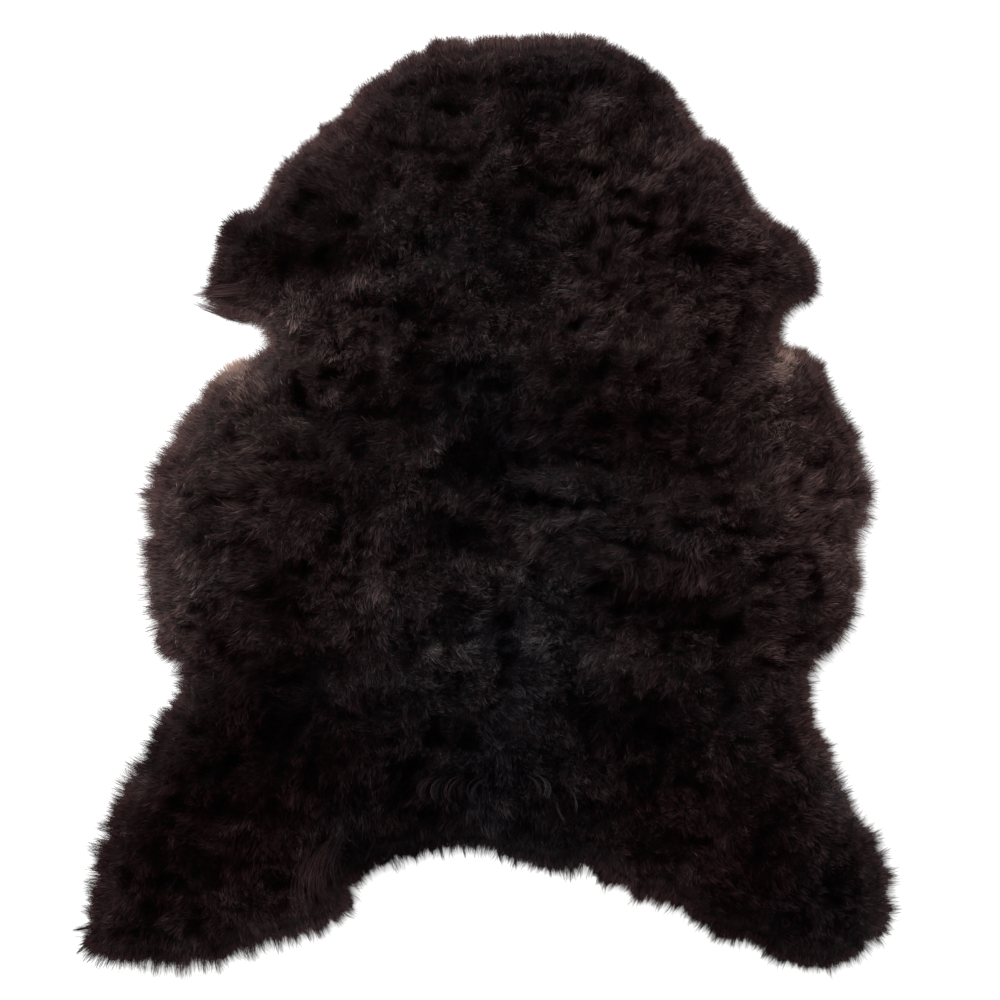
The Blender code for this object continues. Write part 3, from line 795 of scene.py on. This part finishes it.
def strand_paths(rng, fleece, coat, clumps, tufts, wisps, roots, shortest, longest):
    """Paths of the body's strands, and each one's place on the colour map."""
    count = len(roots)
    clump, off_clump = clumps.own(rng, roots)
    tuft, off_tuft = tufts.own(rng, roots)
    wisp, off_wisp = wisps.own(rng, roots)
    inward = fleece.read(fleece.inward, roots)
    body = np.clip(inward / BODY_REACH, 0, 1)
    heading = unit(fleece.read(coat.lean, clumps.middles[clump]))
    clump_forward = clumps.forward(roots, clump, heading) * body
    tuft_forward = tufts.forward(roots, tuft, heading) * body

    lean = fleece.read(coat.lean, roots) + clumps.lean[clump] + tufts.lean[tuft] + wisps.lean[wisp]
    lean += rng.normal(0, STRAND_STRAY, (count, 2))
    leaning = np.linalg.norm(lean, axis=1)
    reach = rng.uniform(shortest, longest, count)
    to_rim = (np.maximum(inward, 0) - rng.uniform(0, RIM_SHORTFALL, count) * MM) / np.maximum(leaning, 0.7)
    reach = np.where(inward < longest, np.minimum(to_rim, LONGEST_AT_RIM), reach)
    shift = lean * reach[:, None]
    side = sideways(shift)
    side *= (clumps.curl[clump] + tufts.curl[tuft])[:, None] * STRAND_CURL
    gather = (wisps.middles[wisp] - roots) * rng.uniform(0, 0.6, count)[:, None]
    tips = roots + shift + gather + side * 0.5
    bends = roots + shift * 0.35 + gather * 0.4 - side * 0.3

    lift = fleece.read(coat.lift, roots)
    low = np.maximum(fleece.read(fleece.heights, roots) * BASE_SHARE + lift - 3 * MM, SKIN_THICKNESS)
    lift += (clumps.lift[clump] + tufts.lift[tuft] + wisps.lift[wisp]) * body
    lift += CLUMP_SLOPE * clump_forward + TUFT_SLOPE * tuft_forward
    sink = CLUMP_SINK * (off_clump / clumps.pitch) ** 2 + TUFT_SINK * (off_tuft / tufts.pitch) ** 2
    sink += WISP_SINK * (off_wisp / wisps.pitch) ** 2
    sink = (sink + rng.exponential(STRAND_SINK, count)) * MM
    high = np.maximum(fleece.read(fleece.heights, roots) + lift - sink * 0.5, low + 1.5 * MM)
    end = np.maximum(fleece.read(fleece.heights, tips) + lift - sink, LEAST_HEIGHT)
    end = np.where(inward < LOWERED_REACH, end * rng.uniform(0.1, 1, count), end)
    paths = paths_of(roots, low, bends, high, tips, end)

    tone = fleece.read(coat.shade, wisps.pick[wisp] * 0.5 + roots * 0.2 + tips * 0.3)
    own_shade = rng.normal(0, STRAND_SHADES, count)
    tone += clumps.shade[clump] + tufts.shade[tuft] + wisps.shade[wisp] + own_shade
    # painted light towards each clump's and tuft's raised tips, painted shade at their roots
    tone += CLUMP_FRONT_PAINTED_LIGHT * clump_forward + TUFT_FRONT_PAINTED_LIGHT * tuft_forward
    return paths, colour_place(rng, fleece, coat, tone, tips)


def fringe_past(rng, points, point, off_point, pointed, roots):
    """How far each rim strand goes past the wool's edge, in millimetres."""
    count = len(roots)
    fringe = np.full(count, FRINGE)
    for _, across, along, reach, added in FRINGES:
        fringe += added * near(roots, across, along, reach, reach)
    fringe *= 1 + pointed * (rng.gamma(2.5, 0.4, len(points.middles))[point] - 1)
    past = np.where(rng.random(count) < 0.6, rng.exponential(1, count) * fringe, rng.uniform(-5, 0, count))
    past -= POINT_DEPTH * pointed * (off_point / points.pitch) ** 2
    return np.minimum(past, LONGEST_FRINGE)


def rim_paths(rng, fleece, coat, points):
    """Paths of the fine strands that fan out past the wool's edge, pointed towards the tail."""
    roots = fleece.places()
    inward = fleece.read(fleece.inward, roots)
    roots = roots[(inward > RIM_ROOTS[0]) & (inward < RIM_ROOTS[1])]
    roots = roots[rng.integers(0, len(roots), RIM_STRANDS)]
    count = len(roots)
    roots = roots + rng.uniform(-0.5, 0.5, roots.shape) * GRID
    inward = fleece.read(fleece.inward, roots)
    point, off_point = points.own(rng, roots)
    outward = fleece.read(fleece.outward, roots)
    lean = fleece.read(coat.lean, roots) * 0.6 + points.lean[point]
    pointed = np.clip(0.5 - roots[:, 1] / 0.4, 0.15, 1)
    stray = rng.normal(0, 1, roots.shape) * (0.32 - 0.22 * pointed)[:, None]
    lean = unit(outward + 0.5 * lean + stray)
    straight = np.maximum((lean * outward).sum(axis=1), 0.5)
    past = fringe_past(rng, points, point, off_point, pointed, roots)
    shift = lean * ((inward + past * MM) / straight)[:, None]
    side = sideways(shift) * points.curl[point][:, None] * 0.5
    gather = (points.middles[point] - roots) * (pointed * rng.uniform(0.2, 1, count))[:, None]
    gather -= (gather * outward).sum(axis=1, keepdims=True) * outward
    tips = roots + shift + gather + side * 0.5
    bends = roots + shift * 0.45 + gather * 0.3 - side * 0.3

    height = fleece.read(fleece.heights, roots)
    level = rng.random(count)
    low = SKIN_THICKNESS + height * 0.25 * level
    high = low + height * (0.25 + 0.65 * level)
    end = (1 + 10 * level * rng.random(count)) * MM
    # painted glow of light through the thin fringe, weaker on edges facing the tail and towards the hind
    # end
    glow = RIM_PAINTED_GLOW * (1 - 0.8 * np.clip(-outward[:, 1], 0, 1)) * np.clip(1 + roots[:, 1] / 0.5, 0.4, 1)
    tone = fleece.read(coat.shade, points.pick[point]) + glow + points.shade[point]
    tone += rng.normal(0, RIM_SHADES, count)
    return paths_of(roots, low, bends, high, tips, end), colour_place(rng, fleece, coat, tone, tips)


def lock_bundle(rng, shares, spread, across, along, length, heading, bend):
    """A lock's strands seen from above: copies of one arc that close up towards its tip."""
    length *= rng.uniform(0.85, 1.15)
    turn = np.radians(heading + bend * rng.uniform(0.8, 1.2) * shares)
    step = np.stack([np.cos(turn), np.sin(turn)], axis=-1) * length * MM / (LOCK_STEPS - 1)
    line = np.array([across, along]) * MM + np.concatenate([[[0, 0]], np.cumsum(step, axis=0)[:-1]])
    across_line = np.stack([-np.sin(turn), np.cos(turn)], axis=-1)
    off = rng.normal(0, spread * MM, (LOCK_STRANDS, 1, 1)) * (1 - 0.8 * shares[None, :, None])
    drift = rng.normal(0, LOCK_DRIFT, (LOCK_STRANDS, 1, 2))
    bundle = line + across_line * off + drift * shares[None, :, None]
    return bundle + (line[1] - line[0]) * rng.uniform(-0.5, 0.5, (LOCK_STRANDS, 1, 1))


def lock_lines(rng, fleece, coat):
    """Centre lines of the charted locks' strands, their widths and places on the colour map."""
    lines, widths, tones = [], [], []
    shares = np.linspace(0, 1, LOCK_STEPS)
    for spread, width, added, rows in LOCKS.values():
        for *arc, over in rows:
            bundle = lock_bundle(rng, shares, spread, *arc)
            flat = bundle.reshape(-1, 2)
            height = fleece.read(fleece.heights, flat) + fleece.read(coat.lift, flat)
            height = np.maximum(height.reshape(LOCK_STRANDS, LOCK_STEPS), 2 * MM)
            arch = (over - LOCK_ARCH * np.abs(shares - 0.5) * 2) * MM
            uneven = rng.normal(*LOCK_LEVEL, (LOCK_STRANDS, 1))
            height = np.maximum(height + arch + uneven, 1 * MM)
            lines.append(np.concatenate([bundle, height[..., None]], axis=-1))
            widths.append(width * MM * rng.uniform(*RIBBON_WIDTHS, LOCK_STRANDS))
            own_shade = rng.normal(*LOCK_SHADES, LOCK_STRANDS)
            tones.append(fleece.read(coat.shade, bundle[:, 0]) + added + own_shade)
    lines, widths, tones = (np.concatenate(parts) for parts in (lines, widths, tones))
    return lines, widths, colour_place(rng, fleece, coat, tones, lines[:, -1, :2])


def bent(paths, shares):
    """Centre lines of quadratic curves from root, bend and tip, at shares of their way."""
    share = shares[None, :, None]
    root, bend, tip = (paths[:, index][:, None] for index in range(3))
    return (1 - share) ** 2 * root + 2 * share * (1 - share) * bend + share**2 * tip


def placed(name, data):
    """A new object in the scene."""
    made = bpy.data.objects.new(name, data)
    bpy.context.scene.collection.objects.link(made)
    return made


def lay_on_map(mesh, layout):
    """The corners' places on the colour map, for the material and for baking."""
    for name in ("strand", "OFBake"):
        mesh.uv_layers.new(name=name).data.foreach_set("uv", layout.astype(np.float32).ravel())


def ribbons(rng, name, centre, shades, widths, rings):
    """Tapered ribbons along centre lines, as one mesh. Its map holds colour and place along."""
    count, last = len(centre), len(rings) - 1
    shares, tapers = np.array(rings, float).T
    along = unit(np.gradient(centre[..., :2], axis=1))
    roll = rng.normal(0, RIBBON_ROLL, (count, 1))
    side = sideways(along) * np.cos(roll)[..., None]
    side = np.concatenate([side, np.broadcast_to(np.sin(roll)[..., None], side.shape[:2] + (1,))], axis=-1)
    half = side * (widths[:, None] * tapers / 2)[..., None]
    pairs = np.stack([centre - half, centre + half], axis=2)[:, :last].reshape(count, -1, 3)
    points = np.concatenate([pairs, centre[:, -1:]], axis=1)
    quads = [[2 * k, 2 * k + 1, 2 * k + 3, 2 * k + 2] for k in range(last - 1)]
    corners = np.array(sum(quads, []) + [2 * last - 2, 2 * last - 1, 2 * last])
    sizes = np.tile([4] * (last - 1) + [3], count)
    loops = (np.arange(count)[:, None] * points.shape[1] + corners).ravel()
    mesh = bpy.data.meshes.new(name)
    mesh.vertices.add(count * points.shape[1])
    mesh.vertices.foreach_set("co", points.astype(np.float32).ravel())
    mesh.loops.add(len(loops))
    mesh.loops.foreach_set("vertex_index", loops.astype(np.int32))
    mesh.polygons.add(len(sizes))
    starts = np.concatenate([[0], np.cumsum(sizes)[:-1]])
    mesh.polygons.foreach_set("loop_start", starts.astype(np.int32))
    mesh.polygons.foreach_set("use_smooth", np.ones(len(sizes), bool))
    mesh.update(calc_edges=True)
    ring_of = np.append(np.repeat(np.arange(last), 2), last)
    across_of = np.append(np.tile([-0.5, 0.5], last), 0)
    u = shades[:, None] + across_of[corners] * WIDTH_ON_MAP
    v = np.broadcast_to(shares[ring_of][corners], u.shape)
    lay_on_map(mesh, np.stack([u, v], axis=-1))
    return placed(name, mesh)


def wool_base(rng, fleece, coat):
    """The dense wool under the strands, as a sheet with their rise, fall and colours, painted dark with
    the roots' painted shade.
    """
    steps = (fleece.size * GRID / BASE_PITCH).astype(int) - 1
    columns, rows = np.meshgrid(*(np.arange(count) for count in steps), indexing="ij")
    places = fleece.low + np.stack([columns.ravel(), rows.ravel()], axis=-1) * BASE_PITCH
    heights = fleece.read(fleece.heights, places) * BASE_SHARE + fleece.read(coat.lift, places)
    inward = fleece.read(fleece.inward, places)
    past = np.minimum(inward - BASE_EDGE, 0)
    heights = np.where(past < 0, SKIN_THICKNESS, np.maximum(heights, SKIN_THICKNESS + MM))
    points = np.column_stack([places + fleece.read(fleece.outward, places) * past[:, None], heights])
    first = (columns * steps[1] + rows)[:-1, :-1].ravel()
    faces = first[:, None] + [0, steps[1], steps[1] + 1, 1]
    faces = faces[(inward > BASE_EDGE)[faces].any(axis=1)]
    used, faces = np.unique(faces, return_inverse=True)
    faces = faces.reshape(-1, 4)
    mesh = bpy.data.meshes.new("wool_base")
    mesh.from_pydata(points[used], [], faces.tolist())
    mesh.shade_smooth()
    middles = points[used][faces].mean(axis=1)[:, :2]
    shades = colour_place(rng, fleece, coat, fleece.read(coat.shade, middles), middles)
    u = np.broadcast_to(shades[:, None], faces.shape)
    # the whole sheet sits where the painted shade is deepest
    layout = np.stack([u, np.full(faces.shape, BASE_PAINTED_SHADE)], axis=-1)
    lay_on_map(mesh, layout + np.array([(-1, -1), (1, -1), (1, 1), (-1, 1)]) * WIDTH_ON_MAP / 2)
    return placed("wool_base", mesh)


def skin():
    """The tanned skin: a slice of the solid above its locks, as thin as a pelt."""
    bm = bmesh.new()
    bm.from_mesh(SOLID.data)
    bmesh.ops.remove_doubles(bm, verts=bm.verts, dist=MM / 100)
    cut = bmesh.ops.bisect_plane(
        bm, geom=bm.verts[:] + bm.edges[:] + bm.faces[:], clear_inner=True,
        plane_co=(0, 0, SKIN_SLICE), plane_no=(0, 0, 1),
    )["geom_cut"]
    keep = {vert for edge in cut if isinstance(edge, bmesh.types.BMEdge) for vert in edge.verts}
    bmesh.ops.delete(bm, geom=[vert for vert in bm.verts if vert not in keep], context="VERTS")
    face = bmesh.ops.contextual_create(bm, geom=bm.edges[:])["faces"]
    lowered = bmesh.ops.extrude_face_region(bm, geom=face, use_keep_orig=True)["geom"]
    for vert in bm.verts:
        vert.co.z = SKIN_THICKNESS
    for vert in lowered:
        if isinstance(vert, bmesh.types.BMVert):
            vert.co.z = 0
    bmesh.ops.recalc_face_normals(bm, faces=bm.faces)
    mesh = bpy.data.meshes.new("skin")
    bm.to_mesh(mesh)
    bm.free()
    mesh.materials.clear()
    mesh.materials.append(plain_material("tanned_skin", SKIN_COLOUR, 0.8))
    return placed("skin", mesh)


def ramp_of(nodes, stops):
    """A colour ramp with these stops."""
    ramp = nodes.new("ShaderNodeValToRGB")
    while len(ramp.color_ramp.elements) < len(stops):
        ramp.color_ramp.elements.new(0.5)
    for element, (position, colour) in zip(ramp.color_ramp.elements, stops):
        element.position = position
        element.color = (*colour, 1)
    return ramp


def wool_material(name, tip):
    """Wool coloured by the strand's place on the map: painted shade darkens it towards the root, and it is
    tinted towards the tip.
    """
    material = bpy.data.materials.new(name)
    material.use_nodes = True
    nodes, links = material.node_tree.nodes, material.node_tree.links
    shader = nodes["Principled BSDF"]
    uv = nodes.new("ShaderNodeUVMap")
    uv.uv_map = "strand"
    split = nodes.new("ShaderNodeSeparateXYZ")
    links.new(uv.outputs[0], split.inputs[0])
    wool = ramp_of(nodes, WOOL_COLOURS)
    links.new(split.outputs["X"], wool.inputs[0])
    # painted shade, deepest at the root and lifting towards the tip
    depth = ramp_of(nodes, [*ROOT_PAINTED_SHADE, (1, tip)])
    links.new(split.outputs["Y"], depth.inputs[0])
    tone = nodes.new("ShaderNodeMix")
    tone.data_type = "RGBA"
    tone.blend_type = "MULTIPLY"
    tone.inputs[0].default_value = 1
    links.new(wool.outputs[0], tone.inputs[6])
    links.new(depth.outputs[0], tone.inputs[7])
    links.new(tone.outputs[2], shader.inputs["Base Color"])
    shader.inputs["Roughness"].default_value = WOOL_ROUGHNESS
    shader.inputs["Specular IOR Level"].default_value = WOOL_SPECULAR
    return material


def plain_material(name, colour, roughness):
    material = bpy.data.materials.new(name)
    material.use_nodes = True
    shader = material.node_tree.nodes["Principled BSDF"]
    shader.inputs["Base Color"].default_value = (*colour, 1)
    shader.inputs["Roughness"].default_value = roughness
    shader.inputs["Specular IOR Level"].default_value = 0
    return material


def floor():
    """The pale floor, a hair under the skin."""
    half = FLOOR_SIZE / 2
    corners = [(-half, -half, 0), (half, -half, 0), (half, half, 0), (-half, half, 0)]
    mesh = bpy.data.meshes.new("floor")
    mesh.from_pydata(corners, [], [(0, 1, 2, 3)])
    mesh.materials.append(plain_material("floor_white", FLOOR_COLOUR, 1))
    made = placed("floor", mesh)
    made.location.z = -FLOOR_GAP


def light():
    """An even white surround and one large soft lamp to the upper left."""
    world = bpy.data.worlds.new("studio")
    world.use_nodes = True
    background = world.node_tree.nodes["Background"]
    background.inputs["Color"].default_value = (1, 1, 1, 1)
    background.inputs["Strength"].default_value = SURROUND_STRENGTH
    bpy.context.scene.world = world
    lamp = bpy.data.lights.new("key", "AREA")
    lamp.shape = "DISK"
    lamp.size = LAMP_SIZE
    lamp.energy = LAMP_POWER
    key = placed("key", lamp)
    key.location = LAMP_PLACE
    key.rotation_euler = (Vector((0, 0, 0)) - key.location).to_track_quat("-Z", "Y").to_euler()


def camera():
    data = bpy.data.cameras.new("camera")
    data.sensor_width = SENSOR
    data.lens = SENSOR * CAMERA_HEIGHT / FRAME_WIDTH
    data.clip_end = CAMERA_SIGHT
    made = placed("camera", data)
    made.location = (*FRAME_CENTRE, CAMERA_HEIGHT + 10 * MM)
    bpy.context.scene.camera = made
    bpy.context.scene.view_settings.view_transform = "Standard"


def strands(rng, fleece, coat, gatherings, count, reach, width, rings, bands):
    """Strands over the whole pelt, joined into bands along it."""
    area = (fleece.inward > 0).sum() * GRID**2
    pitch = math.sqrt(area / count * 2 / math.sqrt(3))
    roots = scattered(rng, fleece, pitch, STRANDS_INWARD)
    roots = roots[np.argsort(roots[:, 1], kind="stable")]
    paths, shades = strand_paths(rng, fleece, coat, *gatherings, roots, *reach)
    widths = width * rng.uniform(*RIBBON_WIDTHS, len(roots))
    centre = bent(paths, rings[:, 0])
    return [
        ribbons(rng, name, centre[part], shades[part], widths[part], rings)
        for name, part in zip(bands, np.array_split(np.arange(len(roots)), len(bands)))
    ]


def rim_strands(rng, fleece, coat):
    """The fringe of fine strands past the wool's edge."""
    paths, shades = rim_paths(rng, fleece, coat, Tufts(rng, fleece, *POINTS))
    widths = RIM_WIDTH * rng.uniform(*RIBBON_WIDTHS, len(paths))
    return ribbons(rng, "wool_rim", bent(paths, RIM_RINGS[:, 0]), shades, widths, RIM_RINGS)


def charted_locks(rng, fleece, coat):
    """The charted locks."""
    lines, widths, shades = lock_lines(rng, fleece, coat)
    shares = np.linspace(0, 1, LOCK_STEPS)
    return ribbons(rng, "wool_locks", lines, shades, widths, np.column_stack([shares, 1 - shares**3]))


def main():
    rng = np.random.default_rng(SEED)
    camera()
    floor()
    light()
    fleece = Fleece(SOLID)
    coat = Coat(fleece)
    gatherings = [Tufts(rng, fleece, *kind) for kind in (CLUMPS, TUFTS, WISPS)]
    woolly = [wool_base(rng, fleece, coat)]
    woolly += strands(rng, fleece, coat, gatherings, *PILE)
    woolly += strands(rng, fleece, coat, gatherings, *HAIRS)
    woolly.append(rim_strands(rng, fleece, coat))
    woolly.append(charted_locks(rng, fleece, coat))
    wool = wool_material("wool_strands", WOOL_TIP)
    fringe = wool_material("wool_fringe", FRINGE_TIP)
    for piece in woolly:
        piece.data.materials.append(fringe if piece.name == "wool_rim" else wool)
    pieces = [skin(), *woolly]
    for piece in pieces:
        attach(piece, "root")
        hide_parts("sheepskin")


main()
